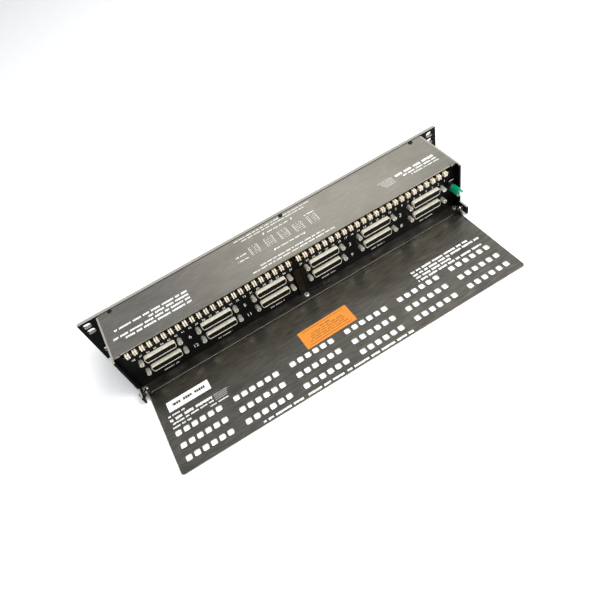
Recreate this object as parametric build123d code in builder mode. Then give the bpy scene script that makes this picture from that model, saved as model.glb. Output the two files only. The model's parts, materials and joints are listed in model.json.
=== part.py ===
"""Rack-mounting audio patch bay, 1.5 rack units high, seen here from its rear.

Millimetres, +Z up, +Y to the rear, +X to the right of somebody facing the front panel.
The origin is the centre of the footprint, on the surface that the unit rests on.
Lengths along Y are measured from the rack seat, the rear face of the front panel.
"""

import os

from build123d import *

os.makedirs("parts", exist_ok=True)

# Overall: a 19 inch panel, and the depth from the front trim to the tray's free edge.
panel_width = 482.6
panel_height = 66.5
panel_thickness = 4.76
front_trim = 3.0
panel_chamfer = 0.5
tray_rear = 193.8
seat = -(tray_rear - panel_thickness - front_trim) / 2
panel_front = -panel_thickness
panel_middle = panel_height / 2

# Rack slots, for both ways of lining 1.5 units up with the rack's holes.
slot_half_spacing = 465.14 / 2
slot_heights = [60.2, 50.7, 15.75, 6.25]
slot_length = 10.3
slot_width = 6.9

# Chassis
chassis_half = 219.1
end_thickness = 2.0
inner_half = chassis_half - end_thickness
sheet = 1.4
cover_top = 65.9
cover_thickness = 1.2
cover_underside = cover_top - cover_thickness
cover_rear = 69.6
cover_tab_start = 210.2
cover_tab = 1.0
cover_slit = 0.8
cover_slit_depth = 2.5
rear_face = 67.0
rear_thickness = 1.2
rear_inner = rear_face - rear_thickness
lip_rear = 80.4
lip_half = 216.4
end_rear = 76.7
flange_depth = 6.5

# Circuits: 48 across, one jack above another at the front, one jumper block at the rear.
circuits = 48
circuit_pitch = 8.76
circuit_x = [(i - (circuits - 1) / 2) * circuit_pitch for i in range(circuits)]
jack_row_gap = 17.8
jack_rows = {"upper": panel_middle + jack_row_gap / 2, "lower": panel_middle - jack_row_gap / 2}

# Jacks
bore_diameter = 4.4
sleeve_diameter = 6.3
sleeve_front = -6.4
sleeve_rear = 6.0
nut_diameter = 8.0
nut_thickness = 1.2
frame_width = 7.6
frame_height = 10.4
frame_wall = 3.0
frame_leg = 1.2
leg_rear = 40.0
stack_margin = 0.8
stack_front = 30.0
stack_rear = 38.0
spring_width = 1.8
spring_thickness = 0.3
spring_heights = [-2.6, 2.3]
spring_front = 9.0
stack_half = 3.2

# Circuit boards, upright and parallel to the panel
board = 1.6
jack_board_front = 46.0
jack_board_rear = jack_board_front + board
rear_board_front = 57.0
rear_board_rear = rear_board_front + board
board_half = 211.5
board_low = 5.0
board_high = 62.0
screw_shank = 2.6
screw_clearance = 0.1
spacer_places = [(x, z) for x in (-208.0, -70.0, 70.0, 208.0) for z in (10.5, 51.5)]

# D-subminiature connectors, two rows of six, 25 ways each
column_pitch = 70.0
columns = [(i - 2.5) * column_pitch for i in range(6)]
dsub_rows = {"upper": 39.3, "lower": 21.9}
shell_side_angle = 80
contacts_wide_side = 13
contacts_narrow_side = 12
shell_width = 38.4
shell_height = 8.0
shell_wall = 0.45
shell_reach = 71.9
shell_radius = 2.4
flange_width = 53.0
flange_height = 12.5
flange_sheet = 0.8
flange_front = rear_inner - flange_sheet
jackscrew_half = 23.52
jackscrew_tip = 74.0
jackscrew_flats = 4.75
jackscrew_shank = 2.8
jackscrew_bore = 2.3
contact_pitch = 2.76
contact_row_gap = 2.84
contact_diameter = 1.0
contact_depth = 6.0

# Jumper blocks: three columns of two pins, two of the columns joined by a shunt each
pin_pitch = 2.54
pin_width = 0.5
pin_rear = 71.0
block_middle = 58.55
header_rear = 67.3
header_margin = 0.2
pin_end = 0.2
shunt_width = 2.3
shunt_height = 5.0
shunt_rear = 72.2
block_pitch = 8.55
block_start = 6.6
blocks_outward = [block_start + i * block_pitch for i in range(circuits // 2)]
block_x = sorted([-x for x in blocks_outward] + blocks_outward)

# Ground post
post_x = -210.6
post_z = 34.9
stud_diameter = 4.76
stud_tip = 88.0
base_rear = 72.4
washer_rear = 73.2
knob_rear = 85.8
knob_diameter = 9.0
running = 0.05

# Cable tray, hinged between the end plates' lower tabs
hinge_y = 82.6
hinge_z = 7.4
tray_front = 81.4
tray_half = 212.6
tray_corner = 3.0
ear_radius = 4.0
ear_rear = 91.0
ear_front_height = 1.0
tie_corner = 1.5
tab_rear = 90.9
tab_high = 12.2
pivot_diameter = 3.0
tie_hole = 7.0
tie_pitch = 9.7
tie_rows = [147.2, 163.5, 179.8]


def wall(y):
    """Upright plane across the unit: sketches are (x, z), and extrusions go forward."""
    return Plane(origin=(0, seat + y, 0), x_dir=(1, 0, 0), z_dir=(0, -1, 0))


def level(z):
    """Flat plane: sketches are (x, y from the seat), and extrusions go up."""
    return Plane(origin=(0, seat, z))


def side(x):
    """Upright plane along the unit: sketches are (y from the seat, z), extruded to +X."""
    return Plane(origin=(x, seat, 0), x_dir=(0, 1, 0), z_dir=(1, 0, 0))


def save(part, name):
    part.label = name
    export_step(part, f"parts/{name}.step")


def rectangle(low, high):
    """Rectangle between two opposite corners, in the open sketch."""
    with Locations(((low[0] + high[0]) / 2, (low[1] + high[1]) / 2)):
        Rectangle(abs(high[0] - low[0]), abs(high[1] - low[1]))


def at_each(places, height):
    return [(x, height) for x in places]


# ---------------------------------------------------------------- front panel and rails

panel_screw_places = [(x, z) for x in (-213.6, 213.6) for z in (13.0, 53.5)]
rail_size = 6.0
rail_half = 204.0
rail_screws = [-202.5, -19.3, 202.5]
screw_depth = 5.0

with BuildPart() as front_panel:
    with BuildSketch(wall(0)):
        rectangle((-panel_width / 2, 0), (panel_width / 2, panel_height))
        for ear in (-slot_half_spacing, slot_half_spacing):
            with Locations(*at_each([ear], 0)):
                with Locations(*[(0, z) for z in slot_heights]):
                    SlotOverall(slot_length, slot_width, mode=Mode.SUBTRACT)
        for height in jack_rows.values():
            with Locations(*at_each(circuit_x, height)):
                Circle(sleeve_diameter / 2 + running, mode=Mode.SUBTRACT)
        with Locations(*panel_screw_places):
            Circle(screw_shank / 2 + screw_clearance, mode=Mode.SUBTRACT)
    extrude(amount=panel_thickness)
    chamfer(front_panel.faces().sort_by(Axis.Y)[0].outer_wire().edges(), panel_chamfer)
save(front_panel.part, "front_panel")


def rail(low, holes):
    """Square bar behind the panel, with tapped holes for the cover's screws."""
    with BuildPart() as bar:
        with BuildSketch(wall(rail_size)):
            rectangle((-rail_half, low), (rail_half, low + rail_size))
        extrude(amount=rail_size)
        if holes:
            with BuildSketch(level(low + rail_size)):
                with Locations(*[(x, rail_size / 2) for x in holes]):
                    Circle(screw_shank / 2)
            extrude(amount=-screw_depth, mode=Mode.SUBTRACT)
    return bar.part


save(rail(cover_underside - rail_size, rail_screws), "top_rail")
save(rail(sheet, []), "bottom_rail")

screw_head = 5.4
head_height = 1.5


def round_screws(places, plane, shank):
    """Domed machine screws: heads stand on the plane, shanks go the other way."""
    outward = Axis((0, 0, 0), plane.z_dir)
    with BuildPart() as screws:
        with BuildSketch(plane):
            with Locations(*places):
                Circle(screw_head / 2)
        extrude(amount=head_height)
        chamfer(screws.faces().sort_by(outward)[-len(places):].edges(), head_height / 3)
        with BuildSketch(plane):
            with Locations(*places):
                Circle(screw_shank / 2)
        extrude(amount=-shank)
    return screws.part


panel_screw_reach = panel_thickness + end_thickness
save(round_screws(panel_screw_places, wall(panel_front), panel_screw_reach), "panel_screws")

# ---------------------------------------------------------------- chassis sheets

with BuildPart() as top_cover:
    with BuildSketch(level(cover_underside)):
        rectangle((-inner_half, 0), (inner_half, cover_rear))
        for hand in (-1, 1):
            rectangle((hand * cover_tab_start, cover_rear), (hand * inner_half, cover_rear + cover_tab))
        for hand in (-1, 1):
            with Locations((hand * (cover_tab_start - cover_slit / 2), cover_rear)):
                Rectangle(cover_slit, 2 * cover_slit_depth, mode=Mode.SUBTRACT)
        with Locations(*[(x, rail_size / 2) for x in rail_screws]):
            Circle(screw_shank / 2 + screw_clearance, mode=Mode.SUBTRACT)
    extrude(amount=cover_thickness)
save(top_cover.part, "top_cover")

cover_screw_places = [(x, rail_size / 2) for x in rail_screws]
cover_head = 0.6
recess_length = 2.6
recess_width = 0.7
tip_gap = 0.5
with BuildPart() as cover_screws:
    with BuildSketch(level(cover_top)):
        with Locations(*cover_screw_places):
            Circle(screw_head / 2)
            Rectangle(recess_length, recess_width, mode=Mode.SUBTRACT)
            Rectangle(recess_width, recess_length, mode=Mode.SUBTRACT)
    extrude(amount=cover_head)
    with BuildSketch(level(cover_top)):
        with Locations(*cover_screw_places):
            Circle(screw_shank / 2)
    extrude(amount=-(cover_thickness + screw_depth - tip_gap))
save(cover_screws.part, "cover_screws")

rivet_places = [(x, 72.7) for x in (-213.2, 0.0, 213.2)]
rivet_shank = 3.2
rivet_head = 5.8
rivet_height = 1.3
rivet_eye = 2.2
rivet_eye_depth = 2.2

with BuildPart() as bottom_plate:
    with BuildSketch(level(0)):
        rectangle((-inner_half, 0), (inner_half, rear_inner))
        rectangle((-lip_half, rear_inner), (lip_half, lip_rear))
        with Locations(*rivet_places):
            Circle(rivet_shank / 2, mode=Mode.SUBTRACT)
    extrude(amount=sheet)
save(bottom_plate.part, "bottom_plate")

with BuildPart() as lip_rivets:
    with BuildSketch(level(sheet)):
        with Locations(*rivet_places):
            Circle(rivet_head / 2)
    extrude(amount=rivet_height)
    chamfer(lip_rivets.faces().sort_by(Axis.Z)[-len(rivet_places):].edges(), rivet_height / 3)
    with BuildSketch(level(0)):
        with Locations(*rivet_places):
            Circle(rivet_shank / 2)
    extrude(amount=sheet)
    with BuildSketch(level(sheet + rivet_height)):
        with Locations(*rivet_places):
            Circle(rivet_eye / 2)
    extrude(amount=-rivet_eye_depth, mode=Mode.SUBTRACT)
save(lip_rivets.part, "lip_rivets")

end_screw_places = [(61.0, 14.0), (61.0, 50.0)]
end_foot = 4.0
corner_radius = 3.0
tab_radius = 2.2


def end_plate(hand):
    """Side wall with a flange behind the panel and a tab that carries the tray's pivot."""
    outer = hand * chassis_half
    with BuildPart() as plate:
        with BuildSketch(side(outer)) as outline:
            rectangle((0, 0), (end_rear, cover_top))
            rectangle((0, sheet), (tab_rear, tab_high))
            rectangle((0, 0), (end_rear + end_foot, sheet))
            fillet(outline.vertices().group_by(Axis.Y)[-1].sort_by(Axis.Z)[-1], corner_radius)
            fillet(outline.vertices().sort_by(Axis.Y)[-2:], tab_radius)
            with Locations((hinge_y, hinge_z)):
                Circle(pivot_diameter / 2 + running, mode=Mode.SUBTRACT)
            with Locations(*end_screw_places):
                Circle(screw_shank / 2 + screw_clearance, mode=Mode.SUBTRACT)
        extrude(amount=-hand * end_thickness)
        with BuildSketch(wall(end_thickness)):
            rectangle((hand * inner_half, sheet), (hand * (inner_half - flange_depth), cover_underside))
            with Locations(*panel_screw_places):
                Circle(screw_shank / 2, mode=Mode.SUBTRACT)
        extrude(amount=end_thickness)
    return plate.part


save(end_plate(-1), "end_plate_left")
save(end_plate(1), "end_plate_right")


def end_screws():
    """Two screws a side, from outside into the rear panel's flanges."""
    with BuildPart() as screws:
        for hand in (-1, 1):
            with BuildSketch(side(hand * chassis_half)):
                with Locations(*end_screw_places):
                    Circle(screw_head / 2)
            extrude(amount=hand * head_height)
            with BuildSketch(side(hand * chassis_half)):
                with Locations(*end_screw_places):
                    Circle(screw_shank / 2)
            extrude(amount=-hand * (end_thickness + rear_thickness + tip_gap))
    return screws.part


save(end_screws(), "end_screws")

# ---------------------------------------------------------------- rear panel


def dsub_face(width, height, radius):
    """D outline, its wide side up, in the open sketch at each current location."""
    with BuildSketch(mode=Mode.PRIVATE) as face:
        Trapezoid(width, height, shell_side_angle, rotation=180)
        fillet(face.vertices(), radius)
    add(face.sketch)


jackscrew_places = [
    (x + offset, z)
    for z in dsub_rows.values()
    for x in columns
    for offset in (-jackscrew_half, jackscrew_half)
]
window_low = block_middle - 3.9
window_high = block_middle + 3.9
window_gap = 3.2
window_half = 210.0
post_hole = 7.2
panel_clearance = 0.3

with BuildPart() as rear_panel:
    with BuildSketch(wall(rear_face)):
        rectangle((-inner_half, sheet), (inner_half, cover_underside))
    extrude(amount=rear_thickness)
    with BuildSketch(wall(rear_face)):
        for height in dsub_rows.values():
            with Locations(*at_each(columns, height)):
                dsub_face(
                    shell_width + 2 * panel_clearance,
                    shell_height + 2 * panel_clearance,
                    shell_radius + panel_clearance,
                )
        with Locations(*jackscrew_places):
            Circle(jackscrew_shank / 2 + screw_clearance)
        for hand in (-1, 1):
            rectangle((hand * window_gap / 2, window_low), (hand * window_half, window_high))
        with Locations((post_x, post_z)):
            Circle(post_hole / 2)
    extrude(amount=rear_thickness, mode=Mode.SUBTRACT)
    for hand in (-1, 1):
        with BuildSketch(wall(rear_inner)):
            rectangle(
                (hand * inner_half, sheet),
                (hand * (inner_half - rear_thickness), cover_underside),
            )
        extrude(amount=flange_depth)
        with BuildSketch(side(hand * inner_half)):
            with Locations(*end_screw_places):
                Circle(screw_shank / 2)
        extrude(amount=-hand * rear_thickness, mode=Mode.SUBTRACT)
save(rear_panel.part, "rear_panel")

rib_half = 5.6
rib_floor = 1.0
rib_wall = 1.2
rib_depth = 2.6
rib_height = 41.0
with BuildPart() as centre_rib:
    with BuildSketch(level(sheet)):
        rectangle((-rib_half, rear_face), (rib_half, rear_face + rib_floor))
        for hand in (-1, 1):
            rectangle(
                (hand * rib_half, rear_face),
                (hand * (rib_half - rib_wall), rear_face + rib_depth),
            )
    extrude(amount=rib_height)
save(centre_rib.part, "centre_rib")

# ---------------------------------------------------------------- jacks


def jack_sleeves(height):
    """Threaded sleeves with their front nuts, each with the plug's bore through it."""
    places = at_each(circuit_x, height)
    with BuildPart() as sleeves:
        with BuildSketch(wall(sleeve_rear)):
            with Locations(*places):
                Circle(sleeve_diameter / 2)
                Circle(bore_diameter / 2, mode=Mode.SUBTRACT)
        extrude(amount=sleeve_rear - sleeve_front)
        with BuildSketch(wall(panel_front)):
            with Locations(*places):
                Circle(nut_diameter / 2)
                Circle(sleeve_diameter / 2, mode=Mode.SUBTRACT)
        extrude(amount=nut_thickness)
    return sleeves.part


def jack_frames(height):
    """Metal frames: a wall around the sleeve and a leg that carries the springs."""
    with BuildPart() as frames:
        with BuildSketch(wall(frame_wall)):
            with Locations(*at_each(circuit_x, height)):
                Rectangle(frame_width, frame_height)
                Circle(sleeve_diameter / 2, mode=Mode.SUBTRACT)
        extrude(amount=frame_wall)
        with BuildSketch(wall(leg_rear)):
            with Locations(*at_each(circuit_x, height - frame_height / 2 + frame_leg / 2)):
                Rectangle(frame_width, frame_leg)
        extrude(amount=leg_rear - frame_wall)
    return frames.part


def jack_stacks(height):
    """Insulating blocks on the frames' legs, which hold the springs and their terminals."""
    low = -frame_height / 2 + frame_leg
    with BuildPart() as stacks:
        with BuildSketch(wall(stack_rear)):
            with Locations(*at_each(circuit_x, height + (low + stack_half) / 2)):
                Rectangle(frame_width - stack_margin, stack_half - low)
        extrude(amount=stack_rear - stack_front)
    return stacks.part


def jack_strips(height, rear, front):
    """Flat strips above and below each plug's path, between two places along it."""
    with BuildPart() as strips:
        with BuildSketch(wall(rear)):
            for offset in spring_heights:
                with Locations(*at_each(circuit_x, height + offset + spring_thickness / 2)):
                    Rectangle(spring_width, spring_thickness)
        extrude(amount=rear - front)
    return strips.part


for row, row_height in jack_rows.items():
    save(jack_sleeves(row_height), f"jack_sleeves_{row}")
    save(jack_frames(row_height), f"jack_frames_{row}")
    save(jack_stacks(row_height), f"jack_stacks_{row}")
    save(jack_strips(row_height, stack_front, spring_front), f"jack_springs_{row}")
    save(jack_strips(row_height, jack_board_front, stack_rear), f"jack_terminals_{row}")

# ---------------------------------------------------------------- designation strips

channel_half = 209.6
channel_height = 11.2
channel_lip = 1.4
channel_floor = 1.0
channel_wall = 0.6
paper_thickness = 0.3
window_thickness = 1.0
designation_offset = 19.8
designation_rows = {
    "upper": panel_middle + designation_offset,
    "lower": panel_middle - designation_offset,
}


def designation_channel(height):
    """Extruded holder on the panel's face, open towards the front between two lips."""
    low = height - channel_height / 2
    high = height + channel_height / 2
    with BuildPart() as channel:
        with BuildSketch(side(-channel_half)):
            rectangle((panel_front, low), (panel_front - channel_floor, high))
            for edge, inward in ((low, 1), (high, -1)):
                rectangle((panel_front, edge), (panel_front - front_trim, edge + inward * channel_wall))
                rectangle(
                    (panel_front - front_trim, edge),
                    (panel_front - front_trim + channel_wall, edge + inward * channel_lip),
                )
        extrude(amount=2 * channel_half)
    return channel.part


def designation_insert(front, thickness):
    """Long flat strips that lie in both channels, their front face at the given place."""
    with BuildPart() as strips:
        with BuildSketch(wall(front + thickness)):
            for height in designation_rows.values():
                with Locations((0, height)):
                    Rectangle(2 * channel_half, channel_height - channel_lip)
        extrude(amount=thickness)
    return strips.part


for row, row_height in designation_rows.items():
    save(designation_channel(row_height), f"designation_channel_{row}")
paper_front = panel_front - channel_floor - paper_thickness
save(designation_insert(paper_front, paper_thickness), "designation_papers")
save(designation_insert(paper_front - window_thickness, window_thickness), "designation_windows")

# ---------------------------------------------------------------- circuit boards

header_places = [
    (x + (column - 1) * pin_pitch, block_middle + (row - 0.5) * pin_pitch)
    for x in block_x
    for column in range(3)
    for row in range(2)
]


def contact_places(height):
    """Twenty-five contacts a connector: thirteen on its wide side, twelve below."""
    places = []
    for x in columns:
        for count, side_of in ((contacts_wide_side, 1), (contacts_narrow_side, -1)):
            for i in range(count):
                along = (i - (count - 1) / 2) * contact_pitch
                places.append((x + along, height + side_of * contact_row_gap / 2))
    return places


def circuit_board(rear):
    with BuildPart() as plate:
        with BuildSketch(wall(rear)):
            rectangle((-board_half, board_low), (board_half, board_high))
            with Locations(*spacer_places):
                Circle(screw_shank / 2 + screw_clearance, mode=Mode.SUBTRACT)
        extrude(amount=board)
    return plate.part


save(circuit_board(jack_board_rear), "jack_board")
save(circuit_board(rear_board_rear), "rear_board")

link_gap = 1.6
link_width = 40.0
link_height = 5.0
spacer_size = 5.2
board_screw_reach = 6.0

with BuildPart() as board_links:
    with BuildSketch(wall(rear_board_front - link_gap)):
        for height in dsub_rows.values():
            with Locations(*at_each(columns, height)):
                Rectangle(link_width, link_height)
    extrude(amount=rear_board_front - link_gap - jack_board_rear)
save(board_links.part, "board_links")

with BuildPart() as board_spacers:
    with BuildSketch(wall(rear_board_front)):
        with Locations(*spacer_places):
            Circle(spacer_size / 2)
            Circle(screw_shank / 2, mode=Mode.SUBTRACT)
    extrude(amount=rear_board_front - jack_board_rear)
save(board_spacers.part, "board_spacers")

with BuildPart() as board_screws:
    with BuildSketch(wall(rear_board_rear + head_height)):
        with Locations(*spacer_places):
            Circle(screw_head / 2)
    extrude(amount=head_height)
    with BuildSketch(wall(rear_board_rear)):
        with Locations(*spacer_places):
            Circle(screw_shank / 2)
    extrude(amount=board + board_screw_reach)
save(board_screws.part, "board_screws")

# ---------------------------------------------------------------- jumper blocks

with BuildPart() as header_bases:
    with BuildSketch(wall(header_rear)):
        with Locations(*at_each(block_x, block_middle)):
            Rectangle(3 * pin_pitch + header_margin, 2 * pin_pitch + header_margin)
    extrude(amount=header_rear - rear_board_rear)
save(header_bases.part, "header_bases")

with BuildPart() as header_pins:
    with BuildSketch(wall(pin_rear)):
        with Locations(*header_places):
            Rectangle(pin_width, pin_width)
    extrude(amount=pin_rear - header_rear)
save(header_pins.part, "header_pins")


def shunts(places):
    """Jumper shunts: each covers the two pins of one column."""
    with BuildPart() as bodies:
        with BuildSketch(wall(shunt_rear)):
            with Locations(*places):
                Rectangle(shunt_width, shunt_height)
        extrude(amount=shunt_rear - header_rear)
        with BuildSketch(wall(pin_rear + pin_end)):
            with Locations(*places):
                with Locations((0, -pin_pitch / 2), (0, pin_pitch / 2)):
                    Rectangle(pin_width + 2 * running, pin_width + 2 * running)
        extrude(amount=pin_rear + pin_end - header_rear, mode=Mode.SUBTRACT)
    return bodies.part


left_shunts = at_each([x + pin_pitch for x in block_x], block_middle)
middle_shunts = at_each(block_x, block_middle)
sample_place = left_shunts.pop(0)
save(shunts(left_shunts), "shunts_left")
save(shunts(middle_shunts), "shunts_middle")
save(shunts([sample_place]), "sample_shunt")

# ---------------------------------------------------------------- D-subminiature connectors

clear = 0.05
core_inset = 0.5
core_width = 39.5
core_height = 10.0
contact_inset = 0.7


def dsub_shells(height):
    """Drawn metal shells with their mounting flanges."""
    places = at_each(columns, height)
    with BuildPart() as shells:
        with BuildSketch(wall(rear_inner)):
            with Locations(*places):
                Rectangle(flange_width, flange_height)
                with Locations((-jackscrew_half, 0), (jackscrew_half, 0)):
                    Circle(jackscrew_shank / 2 + screw_clearance, mode=Mode.SUBTRACT)
        extrude(amount=flange_sheet)
        with BuildSketch(wall(shell_reach)):
            with Locations(*places):
                dsub_face(shell_width, shell_height, shell_radius)
        extrude(amount=shell_reach - rear_inner)
        with BuildSketch(wall(shell_reach)):
            with Locations(*places):
                dsub_face(
                    shell_width - 2 * shell_wall,
                    shell_height - 2 * shell_wall,
                    shell_radius - shell_wall,
                )
        extrude(amount=shell_reach - flange_front, mode=Mode.SUBTRACT)
    return shells.part


def dsub_insulators(height):
    """Moulded cores that fill the shells and stand on the rear board."""
    places = at_each(columns, height)
    inset = 2 * (shell_wall + clear)
    with BuildPart() as cores:
        with BuildSketch(wall(shell_reach - core_inset)):
            with Locations(*places):
                dsub_face(shell_width - inset, shell_height - inset, shell_radius - inset / 2)
        extrude(amount=shell_reach - core_inset - flange_front)
        with BuildSketch(wall(flange_front)):
            with Locations(*places):
                Rectangle(core_width, core_height)
        extrude(amount=flange_front - rear_board_rear)
        with BuildSketch(wall(shell_reach - core_inset)):
            with Locations(*contact_places(height)):
                Circle(contact_diameter / 2 + clear)
        extrude(amount=contact_depth, mode=Mode.SUBTRACT)
    return cores.part


def dsub_contacts(height):
    with BuildPart() as contacts:
        with BuildSketch(wall(shell_reach - core_inset - contact_inset)):
            with Locations(*contact_places(height)):
                Circle(contact_diameter / 2)
        extrude(amount=contact_depth - contact_inset)
    return contacts.part


for row, row_height in dsub_rows.items():
    save(dsub_shells(row_height), f"dsub_shells_{row}")
    save(dsub_insulators(row_height), f"dsub_insulators_{row}")
    save(dsub_contacts(row_height), f"dsub_contacts_{row}")

nut_flats = 5.5
nut_height = 2.2
shank_end = 0.8
tapped_depth = 6.0
with BuildPart() as jackscrews:
    with BuildSketch(wall(jackscrew_tip)):
        with Locations(*jackscrew_places):
            RegularPolygon(jackscrew_flats / 2, 6, major_radius=False)
    extrude(amount=jackscrew_tip - rear_face)
    with BuildSketch(wall(rear_face)):
        with Locations(*jackscrew_places):
            Circle(jackscrew_shank / 2)
    extrude(amount=rear_face - flange_front + nut_height + shank_end)
    with BuildSketch(wall(jackscrew_tip)):
        with Locations(*jackscrew_places):
            Circle(jackscrew_bore / 2)
    extrude(amount=tapped_depth, mode=Mode.SUBTRACT)
save(jackscrews.part, "jackscrews")

with BuildPart() as jackscrew_nuts:
    with BuildSketch(wall(flange_front)):
        with Locations(*jackscrew_places):
            RegularPolygon(nut_flats / 2, 6, major_radius=False)
            Circle(jackscrew_shank / 2, mode=Mode.SUBTRACT)
    extrude(amount=nut_height)
save(jackscrew_nuts.part, "jackscrew_nuts")

# ---------------------------------------------------------------- ground post

post_place = (post_x, post_z)
lug_thickness = 0.8
post_nut_rear = rear_inner - lug_thickness
post_nut_height = 3.0
post_nut_size = 7.6
base_diameter = 9.8
collar_diameter = 7.0
washer_diameter = 8.6
stud_front = 60.0
stud_chamfer = 0.8


def post_ring(rear, front, outer, inner, name):
    """Round piece on the post's axis, hollow where an inner diameter is given."""
    with BuildPart() as ring:
        with BuildSketch(wall(rear)):
            with Locations(post_place):
                Circle(outer / 2)
                Circle(inner / 2, mode=Mode.SUBTRACT)
        extrude(amount=rear - front)
    save(ring.part, name)


with BuildPart() as post_base:
    with BuildSketch(wall(base_rear)):
        with Locations(post_place):
            Circle(base_diameter / 2)
    extrude(amount=base_rear - rear_face)
    with BuildSketch(wall(rear_face)):
        with Locations(post_place):
            Circle(collar_diameter / 2)
    extrude(amount=rear_thickness)
    with BuildSketch(wall(base_rear)):
        with Locations(post_place):
            Circle(stud_diameter / 2)
    extrude(amount=base_rear, mode=Mode.SUBTRACT)
save(post_base.part, "post_base")

with BuildPart() as post_stud:
    with BuildSketch(wall(stud_tip)):
        with Locations(post_place):
            Circle(stud_diameter / 2)
    extrude(amount=stud_tip - stud_front)
    chamfer(post_stud.faces().sort_by(Axis.Y)[-1].edges(), stud_chamfer)
save(post_stud.part, "post_stud")

post_ring(rear_inner, post_nut_rear, washer_diameter, stud_diameter, "ground_lug")
post_ring(post_nut_rear, post_nut_rear - post_nut_height, post_nut_size, stud_diameter, "post_nut")
post_ring(washer_rear, base_rear, washer_diameter, stud_diameter + 2 * running, "post_washer")

flutes = 10
flute_radius = 0.8
flute_depth = 0.28
skirt = 3.0
with BuildPart() as post_knob:
    with BuildSketch(wall(knob_rear)):
        with Locations(post_place):
            Circle(knob_diameter / 2)
    extrude(amount=knob_rear - washer_rear)
    with BuildSketch(wall(knob_rear)):
        with Locations(post_place):
            with PolarLocations(knob_diameter / 2 + flute_radius - flute_depth, flutes):
                Circle(flute_radius)
    extrude(amount=knob_rear - washer_rear - skirt, mode=Mode.SUBTRACT)
    with BuildSketch(wall(knob_rear)):
        with Locations(post_place):
            Circle(stud_diameter / 2 + running)
    extrude(amount=knob_rear - washer_rear, mode=Mode.SUBTRACT)
save(post_knob.part, "post_knob")

# ---------------------------------------------------------------- cable tray

tie_places = [
    (x + (i - 2.5) * tie_pitch, y) for x in columns for i in range(6) for y in tie_rows
]

with BuildPart() as cable_tray:
    with BuildSketch(level(0)) as tray_outline:
        rectangle((-tray_half, tray_front), (tray_half, tray_rear))
        fillet(tray_outline.vertices().group_by(Axis.Y)[-1], tray_corner)
        with Locations(*tie_places):
            RectangleRounded(tie_hole, tie_hole, tie_corner, mode=Mode.SUBTRACT)
    extrude(amount=sheet)
    for hand in (-1, 1):
        with BuildSketch(side(hand * tray_half)):
            with BuildLine():
                Polyline(
                    (tray_front, 0),
                    (ear_rear, 0),
                    (ear_rear, sheet),
                    (hinge_y + ear_radius, hinge_z),
                    (hinge_y - ear_radius, hinge_z),
                    (tray_front, sheet + ear_front_height),
                    (tray_front, 0),
                )
            make_face()
            with Locations((hinge_y, hinge_z)):
                Circle(ear_radius)
                Circle(pivot_diameter / 2 + running, mode=Mode.SUBTRACT)
        extrude(amount=-hand * sheet)
save(cable_tray.part, "cable_tray")

ear_clearance = 0.05
ear_inner = tray_half - sheet
lock_nut = 2.4
spacer_diameter = 6.0
lock_nut_diameter = 5.6
pivot_end = 0.6


def pivot_rings(outer, start, end):
    """Pair of rings around the pivots, between two distances from the middle."""
    with BuildPart() as rings:
        for hand in (-1, 1):
            with BuildSketch(side(hand * start)):
                with Locations((hinge_y, hinge_z)):
                    Circle(outer / 2)
                    Circle(pivot_diameter / 2, mode=Mode.SUBTRACT)
            extrude(amount=hand * (end - start))
    return rings.part


save(pivot_rings(spacer_diameter, tray_half + ear_clearance, inner_half), "pivot_spacers")
lock_nut_start = ear_inner - ear_clearance - lock_nut
save(pivot_rings(lock_nut_diameter, lock_nut_start, ear_inner - ear_clearance), "pivot_nuts")

with BuildPart() as pivot_screws:
    for hand in (-1, 1):
        with BuildSketch(side(hand * chassis_half)):
            with Locations((hinge_y, hinge_z)):
                Circle(screw_head / 2)
        extrude(amount=hand * head_height)
        with BuildSketch(side(hand * chassis_half)):
            with Locations((hinge_y, hinge_z)):
                Circle(pivot_diameter / 2)
        extrude(amount=-hand * (chassis_half - ear_inner + lock_nut + pivot_end))
save(pivot_screws.part, "pivot_screws")

# ---------------------------------------------------------------- labels on the tray

label_thickness = 0.12
notice_middle = (4.6, 128.1)
notice_size = (64.5, 26.0)
notice_turn = 1.5
type_middle = (173.8, 112.2)
type_size = (51.3, 13.4)


def tray_label(middle, size, turn, name):
    with BuildPart() as label:
        with BuildSketch(level(sheet)):
            with Locations(Location((*middle, 0), (0, 0, turn))):
                Rectangle(*size)
        extrude(amount=label_thickness)
    save(label.part, name)


tray_label(notice_middle, notice_size, notice_turn, "notice_label")
tray_label(type_middle, type_size, 0.0, "type_label")
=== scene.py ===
import json
import math
import random

import bmesh
import bpy
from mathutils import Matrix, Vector


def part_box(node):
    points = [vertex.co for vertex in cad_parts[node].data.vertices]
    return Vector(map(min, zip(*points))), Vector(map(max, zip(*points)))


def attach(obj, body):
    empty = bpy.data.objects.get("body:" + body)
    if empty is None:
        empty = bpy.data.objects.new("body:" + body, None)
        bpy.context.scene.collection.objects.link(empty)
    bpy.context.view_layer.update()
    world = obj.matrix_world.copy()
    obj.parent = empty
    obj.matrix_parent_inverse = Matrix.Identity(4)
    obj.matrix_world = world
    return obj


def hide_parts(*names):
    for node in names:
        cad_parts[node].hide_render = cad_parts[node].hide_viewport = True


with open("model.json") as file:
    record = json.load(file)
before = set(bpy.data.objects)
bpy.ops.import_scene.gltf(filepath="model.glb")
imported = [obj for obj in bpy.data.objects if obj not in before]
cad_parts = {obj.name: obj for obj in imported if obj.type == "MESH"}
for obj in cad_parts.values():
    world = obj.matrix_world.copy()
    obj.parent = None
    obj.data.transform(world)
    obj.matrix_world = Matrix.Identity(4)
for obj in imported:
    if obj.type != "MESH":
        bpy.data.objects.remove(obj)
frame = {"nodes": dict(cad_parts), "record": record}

MM = 0.001
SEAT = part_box("front_panel")[1].y    # rear face of the rack panel, which depths are measured from
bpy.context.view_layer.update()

CAMERA_PLACE = (0.1014, SEAT + 0.4739, 0.4741)
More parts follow.
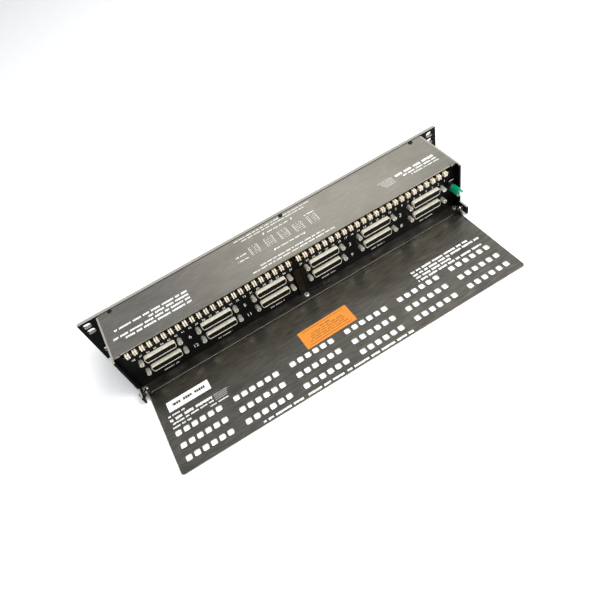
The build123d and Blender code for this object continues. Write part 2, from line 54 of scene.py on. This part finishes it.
CAMERA_TURN = (35.79, 12.91, 150.97)    # degrees
SENSOR_WIDTH = 36.0                     # millimetres
LENS = 31.905
LENS_SHIFT = (-0.0081, 0.0492)          # parts of the picture's width

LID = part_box("top_cover")[1].z
FLOOR_PLATE_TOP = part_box("bottom_plate")[1].z
CIRCUITS = 48
CIRCUIT_PITCH = 0.00876
BLOCK_START = 6.6       # millimetres from the middle to the first jumper block on each side
BLOCK_PITCH = 8.55
PIN_OFFSET = 0.00127
SHUNT_RELIEF = 0.0006
PIN_OPENING = 0.00075
SHUNT_EDGE = 0.00016
NUMBER_LINE = 45.8      # heights of the printed numbers on the rear panel, in millimetres
UPPER_NUMBER = 32.9
LOWER_NUMBER = 15.7
NOTICE_TURN = 1.5       # degrees
CARD_MIDDLES = {"upper": 53.05, "lower": 13.45}
LETTER_GAP = 0.36       # millimetres between blocks in a line of small print
WORD_GAP = 1.2          # letters between words
RIVET_PITCH = 0.2132
RIVET_DEPTH = 72.7      # millimetres behind the rack panel
RIVET_EYE = 0.00118
COLUMNS = 6
COLUMN_PITCH = 0.070


# ---------------------------------------------------------------- camera, floor and light

def make_camera():
    data = bpy.data.cameras.new("camera")
    camera = bpy.data.objects.new("camera", data)
    bpy.context.scene.collection.objects.link(camera)
    camera.location = CAMERA_PLACE
    camera.rotation_euler = [math.radians(angle) for angle in CAMERA_TURN]
    data.sensor_width = SENSOR_WIDTH
    data.lens = LENS
    data.shift_x, data.shift_y = LENS_SHIFT
    data.clip_start, data.clip_end = 0.01, 50
    bpy.context.scene.camera = camera


def area_light(name, place, target, size, watts, colour=(1, 1, 1)):
    data = bpy.data.lights.new(name, "AREA")
    data.shape = "RECTANGLE"
    data.size, data.size_y = size
    data.energy = watts
    data.color = colour
    light = bpy.data.objects.new(name, data)
    light.location = place
    light.rotation_mode = "QUATERNION"
    light.rotation_quaternion = (Vector(target) - Vector(place)).to_track_quat("-Z", "Y")
    bpy.context.scene.collection.objects.link(light)


def make_studio():
    scene = bpy.context.scene
    scene.view_settings.view_transform = "Standard"
    scene.view_settings.look = "None"
    world = bpy.data.worlds.new("studio")
    world.use_nodes = True
    back = world.node_tree.nodes["Background"]
    back.inputs["Color"].default_value = (0.93, 0.96, 1.0, 1)
    back.inputs["Strength"].default_value = 0.42
    scene.world = world
    area_light("key", (-1.3, 0.5, 1.5), (0, 0, 0), (1.4, 1.4), 36)
    area_light("overhead", (-0.2, 0.9, 1.7), (0, 0.05, 0), (2.2, 1.6), 38)
    area_light("front", (-0.75, -1.95, 1.6), (-0.1, 0, 0), (1.5, 0.9), 4.2, (1, 0.97, 0.9))


# ---------------------------------------------------------------- materials

class Finish:
    """A node material, built up from the surface's own coordinates in metres."""

    def __init__(self, name, colour, metallic=0.0, roughness=0.5, **sockets):
        self.material = bpy.data.materials.new(name)
        self.material.use_nodes = True
        self.material.diffuse_color = (*colour, 1)
        self.nodes = self.material.node_tree.nodes
        self.links = self.material.node_tree.links
        self.shader = self.nodes["Principled BSDF"]
        self.shader.inputs["Base Color"].default_value = (*colour, 1)
        self.shader.inputs["Metallic"].default_value = metallic
        self.shader.inputs["Roughness"].default_value = roughness
        for socket, value in sockets.items():
            self.shader.inputs[socket.replace("_", " ")].default_value = value
        coordinates = self.nodes.new("ShaderNodeTexCoord")
        self.place = coordinates.outputs["Object"]
        self.facing = coordinates.outputs["Normal"]
        self.height = None
        self.tint = None

    def noise(self, scale, detail=4.0, rough=0.55, distortion=0.0):
        """Noise whose grain is 1/scale metres along each axis."""
        mapping = self.nodes.new("ShaderNodeMapping")
        mapping.inputs["Scale"].default_value = scale
        self.links.new(self.place, mapping.inputs["Vector"])
        noise = self.nodes.new("ShaderNodeTexNoise")
        noise.inputs["Scale"].default_value = 1.0
        noise.inputs["Detail"].default_value = detail
        noise.inputs["Roughness"].default_value = rough
        noise.inputs["Distortion"].default_value = distortion
        self.links.new(mapping.outputs["Vector"], noise.inputs["Vector"])
        return noise.outputs["Fac"]

    def spread(self, value, low, high, out_low, out_high):
        """value from low..high to out_low..out_high, held at the ends."""
        node = self.nodes.new("ShaderNodeMapRange")
        limits = {"From Min": low, "From Max": high, "To Min": out_low, "To Max": out_high}
        for socket, number in limits.items():
            node.inputs[socket].default_value = number
        self.links.new(value, node.inputs["Value"])
        return node.outputs["Result"]

    def math(self, operation, a, b):
        node = self.nodes.new("ShaderNodeMath")
        node.operation = operation
        for socket, value in zip(node.inputs, (a, b)):
            if isinstance(value, (int, float)):
                socket.default_value = value
            else:
                self.links.new(value, socket)
        return node.outputs[0]

    def colour(self, mask, other):
        """Blends the surface's colour towards another where mask is 1."""
        mix = self.nodes.new("ShaderNodeMix")
        mix.data_type = "RGBA"
        if self.tint is None:
            mix.inputs[6].default_value = self.shader.inputs["Base Color"].default_value
        else:
            self.links.new(self.tint, mix.inputs[6])
        mix.inputs[7].default_value = (*other, 1)
        self.links.new(mask, mix.inputs[0])
        self.tint = mix.outputs[2]
        self.links.new(self.tint, self.shader.inputs["Base Color"])
        return self

    def roughness(self, mask, low, high):
        self.links.new(self.spread(mask, 0.3, 0.7, low, high), self.shader.inputs["Roughness"])
        return self

    def bump(self, height, depth, strength=1.0):
        node = self.nodes.new("ShaderNodeBump")
        node.inputs["Strength"].default_value = strength
        node.inputs["Distance"].default_value = depth
        self.links.new(height, node.inputs["Height"])
        if self.height is not None:
            self.links.new(self.height, node.inputs["Normal"])
        self.height = node.outputs["Normal"]
        self.links.new(self.height, self.shader.inputs["Normal"])
        return self

    def band(self, low_mm, high_mm):
        """1 between two depths behind the rack panel, 0 elsewhere."""
        split = self.nodes.new("ShaderNodeSeparateXYZ")
        self.links.new(self.place, split.inputs[0])
        after = self.math("GREATER_THAN", split.outputs[1], SEAT + low_mm * MM)
        before = self.math("LESS_THAN", split.outputs[1], SEAT + high_mm * MM)
        return self.math("MULTIPLY", after, before)

    def upward(self):
        """1 on faces that look up, 0 on upright ones."""
        split = self.nodes.new("ShaderNodeSeparateXYZ")
        self.links.new(self.facing, split.inputs[0])
        return self.spread(split.outputs[2], 0.6, 0.8, 0.0, 1.0)

    def rivet_eye(self):
        """1 inside the hollow middle of each lip rivet, 0 on its rim; it sets where painted shade goes."""
        split = self.nodes.new("ShaderNodeSeparateXYZ")
        self.links.new(self.place, split.inputs[0])
        nearest = self.math("ROUND", self.math("DIVIDE", split.outputs[0], RIVET_PITCH), 0.0)
        along = self.math("SUBTRACT", split.outputs[0], self.math("MULTIPLY", nearest, RIVET_PITCH))
        back = self.math("SUBTRACT", split.outputs[1], SEAT + RIVET_DEPTH * MM)
        square = self.math("ADD", self.math("MULTIPLY", along, along), self.math("MULTIPLY", back, back))
        return self.math("LESS_THAN", square, RIVET_EYE ** 2)

    def edges(self, radius):
        """1 along edges that stand out, 0 on the flats."""
        bevel = self.nodes.new("ShaderNodeBevel")
        bevel.samples = 4
        bevel.inputs["Radius"].default_value = radius
        geometry = self.nodes.new("ShaderNodeNewGeometry")
        product = self.nodes.new("ShaderNodeVectorMath")
        product.operation = "DOT_PRODUCT"
        self.links.new(bevel.outputs["Normal"], product.inputs[0])
        self.links.new(geometry.outputs["Normal"], product.inputs[1])
        return self.spread(product.outputs["Value"], 0.995, 0.85, 0.0, 1.0)


def brushed(name, colour, dark, light, rough_low, rough_high, lines=()):
    """Sheet metal brushed along X: fine scratches, broader streaks, handling marks, and bands of painted
    highlight and painted shade across given depths.
    """
    f = Finish(name, colour, 1.0, (rough_low + rough_high) / 2)
    fine = f.noise((150, 3000, 3000), 4)
    streak = f.noise((55, 520, 520), 5, 0.6)
    cloud = f.noise((9, 16, 16), 4, 0.6)
    smear = f.noise((60, 45, 45), 5, 0.7, 0.6)
    f.colour(f.spread(streak, 0.42, 0.62, 0.0, 0.65), light)
    f.colour(f.spread(fine, 0.5, 0.75, 0.0, 0.5), dark)
    f.colour(f.spread(cloud, 0.5, 0.72, 0.0, 0.45), dark)
    worn = f.math("MULTIPLY", f.spread(smear, 0.6, 0.78, 0.0, 1.0), 0.35)
    f.colour(worn, light)
    f.roughness(f.math("ADD", f.math("MULTIPLY", streak, 0.5), f.math("MULTIPLY", smear, 0.5)),
                rough_low, rough_high)
    # each band paints a highlight or a shade straight into the colour, between two depths behind the rack
    # panel
    for low_mm, high_mm, painted_highlight_shade_colour in lines:
        f.colour(f.band(low_mm, high_mm), painted_highlight_shade_colour)
    f.bump(fine, 0.00002, 0.6)
    f.bump(streak, 0.00003, 0.2)
    return f


def painted(name, colour, worn, rough_low, rough_high, specular=0.3, edge=0.0004, painted_top_highlight=None):
    """Satin black finish with a fine orange peel, dust, rubbed edges; upward-facing faces may get a painted
    highlight in a light bare-metal colour.
    """
    f = Finish(name, colour, 0.0, rough_low, Specular_IOR_Level=specular)
    peel = f.noise((2200, 2200, 2200), 3)
    dust = f.noise((70, 70, 70), 6, 0.7)
    rub = f.noise((500, 500, 500), 4, 0.7)
    f.colour(f.spread(dust, 0.5, 0.8, 0.0, 0.30), tuple(c * 2.2 + 0.004 for c in colour))
    if edge:
        mask = f.math("MULTIPLY", f.edges(edge), f.spread(rub, 0.45, 0.62, 0.1, 0.8))
        f.colour(mask, worn)
    # painted highlight: every upward-facing face, mostly the cut top edges, is blended to a light metal
    # colour
    if painted_top_highlight:
        f.colour(f.upward(), painted_top_highlight)
    f.roughness(dust, rough_low, rough_high)
    f.bump(peel, 0.00002, 0.35)
    return f


def plated(name, colour, dull, rough_low, rough_high, metallic=1.0):
    """Bright plating with polishing marks, and duller patches where it is tarnished."""
    f = Finish(name, colour, metallic, rough_low)
    marks = f.noise((1800, 630, 900), 3, 0.6)
    patch = f.noise((130, 130, 130), 5, 0.65)
    f.colour(f.spread(patch, 0.48, 0.72, 0.0, 0.8), dull)
    f.roughness(patch, rough_low, rough_high)
    f.bump(marks, 0.00001, 0.5)
    return f


def moulded(name, colour, other, rough_low, rough_high, specular=0.5, **sockets):
    """Moulded plastic with a fine sparked texture and faint flow marks."""
    f = Finish(name, colour, 0.0, rough_low, Specular_IOR_Level=specular, **sockets)
    spark = f.noise((3000, 3000, 3000), 2)
    flow = f.noise((160, 90, 160), 5, 0.6, 0.8)
    f.colour(f.spread(flow, 0.45, 0.75, 0.0, 0.8), other)
    f.roughness(flow, rough_low, rough_high)
    f.bump(spark, 0.000015, 0.4)
    return f


def film(name, colour, stained, rough_low, rough_high):
    """Printed film or card: fibres, slight staining, a sheen that varies."""
    f = Finish(name, colour, 0.0, rough_low, Specular_IOR_Level=0.35)
    fibre = f.noise((900, 2600, 900), 4, 0.7)
    stain = f.noise((55, 80, 60), 6, 0.65)
    f.colour(f.spread(stain, 0.48, 0.75, 0.0, 0.6), stained)
    f.roughness(stain, rough_low, rough_high)
    f.bump(fibre, 0.00002, 0.3)
    return f


def clear_window():
    f = Finish("clear_window", (0.93, 0.95, 0.95), 0.0, 0.08, Transmission_Weight=0.9, IOR=1.49)
    scratch = f.noise((60, 1500, 1500), 3)
    f.colour(f.spread(scratch, 0.5, 0.8, 0.0, 0.3), (0.82, 0.86, 0.86))
    f.roughness(scratch, 0.05, 0.22)
    f.bump(scratch, 0.00001, 0.2)
    return f


def circuit_board():
    """Solder mask over copper: a faint grid of tracks shows as a lighter green."""
    f = Finish("circuit_board", (0.012, 0.09, 0.04), 0.0, 0.35, Specular_IOR_Level=0.5)
    weave = f.noise((1200, 1200, 1200), 3)
    tracks = f.noise((420, 420, 60), 2, 0.3)
    f.colour(f.spread(tracks, 0.50, 0.54, 0.0, 0.9), (0.03, 0.19, 0.08))
    f.roughness(weave, 0.25, 0.45)
    f.bump(tracks, 0.00004, 0.4)
    return f


BRIGHT_PLATING = ((0.80, 0.78, 0.71), (0.40, 0.37, 0.30), 0.22, 0.42, 0.75)
FINISHES = {
    # the satin black panels get a painted highlight on their upward-facing faces
    "black_panel": painted("satin_black", (0.0015, 0.0015, 0.0015), (0.05, 0.048, 0.043), 0.42, 0.6, 0.08,
                           painted_top_highlight=(0.30, 0.285, 0.25)),
    "rib_black": moulded("rib_gloss", (0.005, 0.003, 0.0015), (0.010, 0.006, 0.003), 0.35, 0.5, 0.12),
    "brushed_cover": brushed("brushed_cover", (0.38, 0.36, 0.315), (0.23, 0.215, 0.185),
                             (0.47, 0.45, 0.40), 0.26, 0.42),
    "brushed_tray": brushed("brushed_tray", (0.21, 0.197, 0.168), (0.10, 0.094, 0.080),
                            (0.32, 0.30, 0.26), 0.24, 0.40,
                            # painted highlight on the lip's rear edge (79.8-80.5 mm) and painted shade in
                            # the hinge gap along the tray's front edge (81.3-82.5 mm)
                            ((79.8, 80.5, (0.46, 0.44, 0.39)), (81.3, 82.5, (0.012, 0.012, 0.010)))),
    "rail_metal": plated("mill_aluminium", (0.55, 0.55, 0.54), (0.38, 0.38, 0.37), 0.3, 0.5),
    "dark_screw": painted("black_oxide", (0.006, 0.006, 0.005), (0.10, 0.09, 0.08), 0.35, 0.5, 0.25,
                          0.0002),
    "bright_fastener": plated("bright_plating", *BRIGHT_PLATING),
    "sleeve_nickel": plated("sleeve_nickel", (0.74, 0.72, 0.66), (0.5, 0.48, 0.42), 0.12, 0.28),
    "jack_frame": plated("tinned_frame", (0.55, 0.55, 0.53), (0.4, 0.4, 0.38), 0.25, 0.45),
    "jack_insulation": moulded("phenolic", (0.07, 0.035, 0.016), (0.11, 0.06, 0.03), 0.4, 0.6, 0.4),
    "spring_metal": plated("spring_brass", (0.75, 0.60, 0.32), (0.5, 0.38, 0.2), 0.2, 0.4),
    "channel_black": painted("channel_black", (0.007, 0.007, 0.007), (0.2, 0.19, 0.17), 0.4, 0.6, 0.3,
                             0.0002),
    "paper": film("card", (0.80, 0.79, 0.74), (0.70, 0.67, 0.58), 0.7, 0.9),
    "window_clear": clear_window(),
    "board_green": circuit_board(),
    "board_black": painted("black_mask", (0.002, 0.002, 0.002), (0.02, 0.02, 0.018), 0.4, 0.6, 0.1, 0.0002),
    "moulding_black": moulded("black_moulding", (0.002, 0.002, 0.002), (0.006, 0.006, 0.005), 0.4, 0.6,
                              0.12),
    "gold": plated("gold_flash", (0.86, 0.62, 0.26), (0.6, 0.4, 0.16), 0.16, 0.32),
    "shunt_ivory": moulded("ivory_moulding", (0.80, 0.73, 0.60), (0.55, 0.46, 0.33), 0.3, 0.5, 0.5),
    "shell_nickel": plated("shell_nickel", (0.88, 0.84, 0.70), (0.66, 0.61, 0.46), 0.36, 0.52, 0.35),
    "post_black": moulded("post_moulding", (0.008, 0.008, 0.008), (0.02, 0.02, 0.02), 0.25, 0.4, 0.5),
    "post_metal": plated("post_plating", (0.70, 0.68, 0.60), (0.46, 0.42, 0.33), 0.15, 0.35),
    "post_green": moulded("green_moulding", (0.0, 0.24, 0.115), (0.0, 0.16, 0.075), 0.14, 0.26, 0.6),
    "label_orange": film("orange_film", (0.64, 0.225, 0.03), (0.58, 0.19, 0.025), 0.45, 0.65),
    "label_white": film("white_film", (0.86, 0.86, 0.84), (0.76, 0.75, 0.70), 0.4, 0.6),
}
RIVET_METAL = plated("rivet_plating", *BRIGHT_PLATING)
# painted shade: the hollow middle of each rivet is coloured near black
RIVET_METAL.colour(RIVET_METAL.rivet_eye(), (0.004, 0.004, 0.004))
INK_WHITE = film("white_ink", (0.84, 0.84, 0.81), (0.66, 0.65, 0.60), 0.5, 0.7)
INK_BLACK = film("black_ink", (0.03, 0.028, 0.026), (0.09, 0.08, 0.075), 0.5, 0.7)
INK_BROWN = film("brown_ink", (0.22, 0.07, 0.012), (0.32, 0.11, 0.016), 0.5, 0.7)


def dress_nodes():
    for part in frame["record"]["subparts"]:
        node = frame["nodes"][part["node"]]
        node.data.materials.clear()
        finish = RIVET_METAL if part["node"] == "lip_rivets" else FINISHES[part["material_slot"]]
        node.data.materials.append(finish.material)


# ---------------------------------------------------------------- printing and small mouldings

class Print:
    """Flat ink of real thickness on one surface. u and v are millimetres along the surface's own two
    directions from its origin."""

    def __init__(self, origin, along, across, thickness=0.03):
        self.mesh = bmesh.new()
        self.origin, self.along, self.across = Vector(origin), Vector(along), Vector(across)
        self.out = self.along.cross(self.across).normalized()
        self.lift = thickness * MM

    def point(self, u, v):
        return self.origin + self.along * (u * MM) + self.across * (v * MM)

    def shape(self, outline):
        """One filled outline, as a prism standing on the surface."""
        base = [self.mesh.verts.new(self.point(u, v)) for u, v in outline]
        top = [self.mesh.verts.new(b.co + self.out * self.lift) for b in base]
        count = len(base)
        self.mesh.faces.new(top)
        self.mesh.faces.new(base[::-1])
        for i in range(count):
            j = (i + 1) % count
            self.mesh.faces.new((base[i], base[j], top[j], top[i]))

    def bar(self, u0, u1, v0, v1):
        self.shape([(u0, v0), (u1, v0), (u1, v1), (u0, v1)])

    def line(self, ends, width):
        """A straight stroke between two points."""
        (u0, v0), (u1, v1) = ends
        across = Vector((v0 - v1, u1 - u0)).normalized() * (width / 2)
        self.shape([(u0 - across.x, v0 - across.y), (u1 - across.x, v1 - across.y),
                    (u1 + across.x, v1 + across.y), (u0 + across.x, v0 + across.y)])

    def disc(self, u, v, radius, sides=14):
        angles = [math.tau * k / sides for k in range(sides)]
        self.shape([(u + radius * math.cos(a), v + radius * math.sin(a)) for a in angles])

    def words(self, u0, u1, v, height, seed, letter=1.15):
        """A row of plain blocks in word-like groups, standing for a line of small print."""
        rng = random.Random(seed)
        u, left = u0, rng.randint(3, 9)
        while u < u1:
            width = min(letter * rng.uniform(0.75, 1.25), u1 - u)
            if width > 0.3:
                self.bar(u, u + width - LETTER_GAP, v, v + height * rng.choice((1.0, 1.0, 0.86)))
            u += width
            left -= 1
            if left == 0:
                u += letter * WORD_GAP
                left = rng.randint(3, 9)

    def text(self, words, u, v, height):
        """Figures, centred on a point."""
        curve = bpy.data.curves.new("figures", "FONT")
        curve.body = words
        curve.align_x, curve.align_y = "CENTER", "CENTER"
        curve.size = height * 1.38
        curve.resolution_u = 3
        maker = bpy.data.objects.new("figures", curve)
        bpy.context.scene.collection.objects.link(maker)
        flat = bpy.data.meshes.new_from_object(maker)
        bpy.data.objects.remove(maker)
        part = bmesh.new()
        part.from_mesh(flat)
        bpy.data.meshes.remove(flat)
        bmesh.ops.remove_doubles(part, verts=part.verts, dist=1e-5)
        faces = part.faces[:]
        walls = bmesh.ops.extrude_face_region(part, geom=faces)
        for item in walls["geom"]:
            if isinstance(item, bmesh.types.BMVert):
                item.co.z = 1.0
        made = {}
        for vert in part.verts:
            place = self.point(u + vert.co.x, v + vert.co.y)
            made[vert] = self.mesh.verts.new(place + self.out * (self.lift if vert.co.z > 0.5 else 0.0))
        for face in part.faces:
            self.mesh.faces.new([made[vert] for vert in face.verts])
        part.free()

    def finish(self, name, body, ink, slot):
        bmesh.ops.recalc_face_normals(self.mesh, faces=self.mesh.faces)
        data = bpy.data.meshes.new(name)
        self.mesh.to_mesh(data)
        self.mesh.free()
        piece = bpy.data.objects.new(name, data)
        piece.data.materials.append(ink.material)
        bpy.context.scene.collection.objects.link(piece)
        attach(piece, body)
        return piece


def cover_print():
    """Text-like blocks and the jumper diagrams on the lid. u runs along X, v towards the rear."""
    p = Print((0, SEAT, LID), (1, 0, 0), (0, 1, 0))
    # u is along +X here, which reads right to left for somebody behind the unit
    for row, (u0, u1) in enumerate(((117.6, 206.0), (117.5, 166.7), (117.5, 210.4), (117.5, 197.5))):
        p.words(u0, u1, 33.6 + 5.65 * row, 2.9, row + 1, 1.7)
    p.words(-56.4, 45.1, 4.0, 1.5, 11)
    p.words(-47.8, 36.6, 8.4, 1.5, 12)
    p.words(-21.7, 6.0, 16.0, 1.4, 13)
    p.words(-26.0, 10.6, 46.7, 1.5, 14)
    p.words(-47.4, 34.8, 57.6, 1.8, 15)
    p.words(-58.0, 46.2, 62.4, 1.7, 16)
    p.words(39.5, 53.4, 29.2, 1.6, 17)
    p.words(39.6, 53.4, 36.8, 1.6, 18)
    p.words(-53.0, -40.2, 22.2, 1.6, 19)
    for u, v in ((10.0, 15.9), (-26.8, 16.1), (10.6, 47.6), (-27.5, 47.6)):
        p.line(((u - 0.7, v - 1.3), (u + 0.7, v + 1.3)), 1.5)
    blocks = ((29.0, 31.0, 1), (9.0, 31.0, 0), (-9.0, 32.0, 1), (-27.5, 33.5, 0), (-46.5, 33.5, 1))
    for centre, middle, bridged in blocks:
        for column in range(3):
            for row in range(5):
                p.disc(centre + (column - 1) * 3.6, middle + (row - 2) * 3.2, 0.5)
        for row in range(1, 4):
            v = middle + (row - 2) * 3.2
            p.bar(centre - 4.4, centre + (0.8 if bridged else 4.4), v - 0.18, v + 0.18)
        for side in (-1, 1):
            p.line(((centre + side * 5.3, middle - 7.2), (centre + side * 5.3, middle + 7.2)), 0.45)
    # plain ruled block at the right-hand end
    for row in range(5):
        v = 37.2 + row * 2.6
        p.line(((-150.0, v + 1.4), (-131.0 - row * 1.2, v + 1.4)), 0.35)
    p.words(-207.0, -152.0, 39.0, 3.4, 81, 2.3)
    p.words(-207.0, -160.0, 45.0, 2.2, 82, 1.5)
    p.words(-207.4, -170.0, 50.0, 1.6, 83, 1.3)
    p.finish("cover_print", "chassis", INK_WHITE, "label_white")


def tray_print():
    p = Print((0, SEAT, FLOOR_PLATE_TOP), (1, 0, 0), (0, 1, 0))
    lines = ((-189.4, -110.7), (-202.0, -110.5), (-158.6, -111.0), (-197.8, -110.8))
    for row, (u0, u1) in enumerate(lines):
        p.words(u0, u1, 123.6 + 4.9 * row, 2.8, 21 + row, 1.6)
    # plain ruled block under the white label
    p.words(183.4, 203.3, 122.9, 2.0, 31, 1.5)
    for row in range(4):
        v = 127.6 + row * 2.3
        p.line(((133.0 + row * 0.9, v + 1.1), (150.0, v + 1.1)), 0.35)
    p.words(152.0, 203.0, 128.0, 3.4, 84, 2.3)
    p.words(152.0, 203.0, 133.6, 2.0, 85, 1.5)
    p.words(181.0, 203.0, 138.6, 1.9, 32, 1.6)
    p.words(135.8, 158.0, 138.8, 1.5, 33, 1.6)
    # one line along the free edge
    for u0, u1, seed in ((69.4, 117.3, 41), (19.8, 66.2, 42), (-67.3, 16.1, 43)):
        p.words(u0, u1, 189.4, 2.6, seed, 2.0)
    p.finish("tray_print", "tray", INK_WHITE, "label_white")


def rear_print():
    """Circuit numbers, connector numbers and the short lines under the connectors."""
    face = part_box("rear_panel")[1].y
    p = Print((0, face, 0), (-1, 0, 0), (0, 0, 1))
    half = CIRCUITS // 2
    for step in range(half):
        u = BLOCK_START + step * BLOCK_PITCH
        p.text(str(half - step), u, NUMBER_LINE, 2.9)
        p.text(str(half + 1 + step), -u, NUMBER_LINE, 2.9)
    for gap, (upper, lower) in enumerate((("2", "8"), ("3", "9"), ("5", "11"), ("6", "12"))):
        u = (-140, -70, 70, 140)[gap]
        p.text(upper, -u, UPPER_NUMBER, 5.0)
        p.text(lower, -u, LOWER_NUMBER, 5.0)
    for column in range(COLUMNS):
        u = (column - (COLUMNS - 1) / 2) * COLUMN_PITCH / MM
        p.words(-u - 9.5, -u + 9.5, 6.0, 1.3, 51 + column, 1.4)
    p.bar(209.5, 216.5, 40.4, 41.6)
    p.finish("rear_print", "chassis", INK_WHITE, "label_white")


def label_prints():
    low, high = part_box("notice_label")
    middle = (low + high) / 2
    turn = math.radians(NOTICE_TURN)
    along = Vector((math.cos(turn), math.sin(turn), 0))
    across = Vector((-math.sin(turn), math.cos(turn), 0))
    p = Print((middle.x, middle.y, high.z), along, across, 0.01)
    rows = ((-27, 27, -10.6, 1.1), (-7, 7, -7.2, 1.9), (-22, 20, -3.6, 1.4), (-23, 22, -0.6, 1.4),
            (-21, 23, 2.4, 1.4), (-25, 25, 5.4, 1.4), (-27, 27, 9.3, 1.1))
    for k, (u0, u1, v, height) in enumerate(rows):
        if k in (0, 6):
            p.bar(u0, u1, v, v + height * 0.6)
        else:
            p.words(u0, u1, v, height, 60 + k, 1.1)
    p.finish("notice_print", "tray", INK_BROWN, "label_orange")
    low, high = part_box("type_label")
    middle = (low + high) / 2
    p = Print((middle.x, middle.y, high.z), (1, 0, 0), (0, 1, 0), 0.01)
    p.words(-20, 20, -2.2, 3.6, 71, 2.6)
    p.finish("type_print", "tray", INK_BLACK, "label_white")


def front_print():
    """Numbers on the two card strips, one to each jack."""
    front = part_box("designation_papers")[0].y
    for name, z in CARD_MIDDLES.items():
        p = Print((0, front, z * MM), (1, 0, 0), (0, 0, 1), 0.01)
        for circuit in range(1, CIRCUITS + 1):
            u = (circuit - 24.5) * CIRCUIT_PITCH / MM
            p.text(str(circuit), u, 0.0, 2.2)
            if circuit < CIRCUITS:
                p.bar(u + 4.28, u + 4.48, -3.6, 3.6)
        p.finish(f"designation_numbers_{name}", "chassis", INK_BLACK, "paper")


def rounded_block(mesh, centre, size, cut, holes, hole):
    """A small moulding with chamfered edges, and square openings in its +Y face."""
    part = bmesh.new()
    bmesh.ops.create_cube(part, size=1.0)
    for vert in part.verts:
        vert.co = Vector((vert.co.x * size[0], vert.co.y * size[1], vert.co.z * size[2]))
    bmesh.ops.bevel(part, geom=part.edges[:], offset=cut, segments=2, affect="EDGES", profile=0.6)
    outer = max(part.faces, key=lambda f: f.calc_center_median().y)
    edge = [v.co.copy() for v in outer.verts]
    low = Vector((min(c.x for c in edge), 0, min(c.z for c in edge)))
    high = Vector((max(c.x for c in edge), 0, max(c.z for c in edge)))
    y = edge[0].y
    bmesh.ops.delete(part, geom=[outer], context="FACES_ONLY")
    xs = [low.x, -hole / 2, hole / 2, high.x]
    zs = [low.z]
    for z in holes:
        zs += [z - hole / 2, z + hole / 2]
    zs.append(high.z)
    grid = {}

    def at(i, k, depth=0.0):
        key = (i, k, depth)
        if key not in grid:
            grid[key] = part.verts.new((xs[i], y - depth, zs[k]))
        return grid[key]

    for i in range(3):
        for k in range(len(zs) - 1):
            opening = i == 1 and k % 2 == 1
            if not opening:
                part.faces.new((at(i, k), at(i, k + 1), at(i + 1, k + 1), at(i + 1, k)))
                continue
            depth = size[1] * 0.45
            ring = [(i, k), (i, k + 1), (i + 1, k + 1), (i + 1, k)]
            for a, b in zip(ring, ring[1:] + ring[:1]):
                part.faces.new((at(*a), at(*a, depth), at(*b, depth), at(*b)))
            part.faces.new([at(*c, depth) for c in ring])
    bmesh.ops.remove_doubles(part, verts=part.verts, dist=1e-6)
    made = {v: mesh.verts.new(v.co + centre) for v in part.verts}
    for face in part.faces:
        mesh.faces.new([made[v] for v in face.verts])
    part.free()


def shunts(node, body):
    """The pull-off jumpers of one CAD node, with the openings over their two pins."""
    source = frame["nodes"][node]
    part = bmesh.new()
    part.from_mesh(source.data)
    bmesh.ops.remove_doubles(part, verts=part.verts, dist=1e-6)
    mesh = bmesh.new()
    seen = set()
    for start in part.verts:
        if start in seen:
            continue
        group, heap = [], [start]
        seen.add(start)
        while heap:
            vert = heap.pop()
            group.append(vert.co)
            for link in vert.link_edges:
                other = link.other_vert(vert)
                if other not in seen:
                    seen.add(other)
                    heap.append(other)
        low = Vector(map(min, *group))
        high = Vector(map(max, *group))
        size = high - low
        centre = (low + high) / 2
        body_size = (size.x - SHUNT_RELIEF, size.y, size.z - SHUNT_RELIEF / 4)
        rounded_block(mesh, centre, body_size, SHUNT_EDGE, (-PIN_OFFSET, PIN_OFFSET), PIN_OPENING)
    part.free()
    data = bpy.data.meshes.new(node + "_moulded")
    bmesh.ops.recalc_face_normals(mesh, faces=mesh.faces)
    mesh.to_mesh(data)
    mesh.free()
    piece = bpy.data.objects.new(node + "_moulded", data)
    piece.data.materials.append(FINISHES["shunt_ivory"].material)
    bpy.context.scene.collection.objects.link(piece)
    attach(piece, body)
    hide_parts(node)


def make_floor():
    mesh = bmesh.new()
    bmesh.ops.create_grid(mesh, x_segments=8, y_segments=8, size=6.0)
    data = bpy.data.meshes.new("floor")
    mesh.to_mesh(data)
    mesh.free()
    floor = bpy.data.objects.new("floor", data)
    floor.location.z = -0.0002
    pale = Finish("pale_floor", (0.97, 0.97, 0.97), 0.0, 0.8, Specular_IOR_Level=0.1)
    grain = pale.noise((40, 40, 40), 3)
    pale.colour(pale.spread(grain, 0.4, 0.7, 0.0, 0.3), (0.955, 0.955, 0.955))
    floor.data.materials.append(pale.material)
    bpy.context.scene.collection.objects.link(floor)


make_camera()
make_studio()
make_floor()
dress_nodes()
cover_print()
tray_print()
rear_print()
label_prints()
front_print()
for shunt_node, shunt_body in (("shunts_left", "chassis"), ("shunts_middle", "chassis"),
                               ("sample_shunt", "sample_shunt_body")):
    shunts(shunt_node, shunt_body)
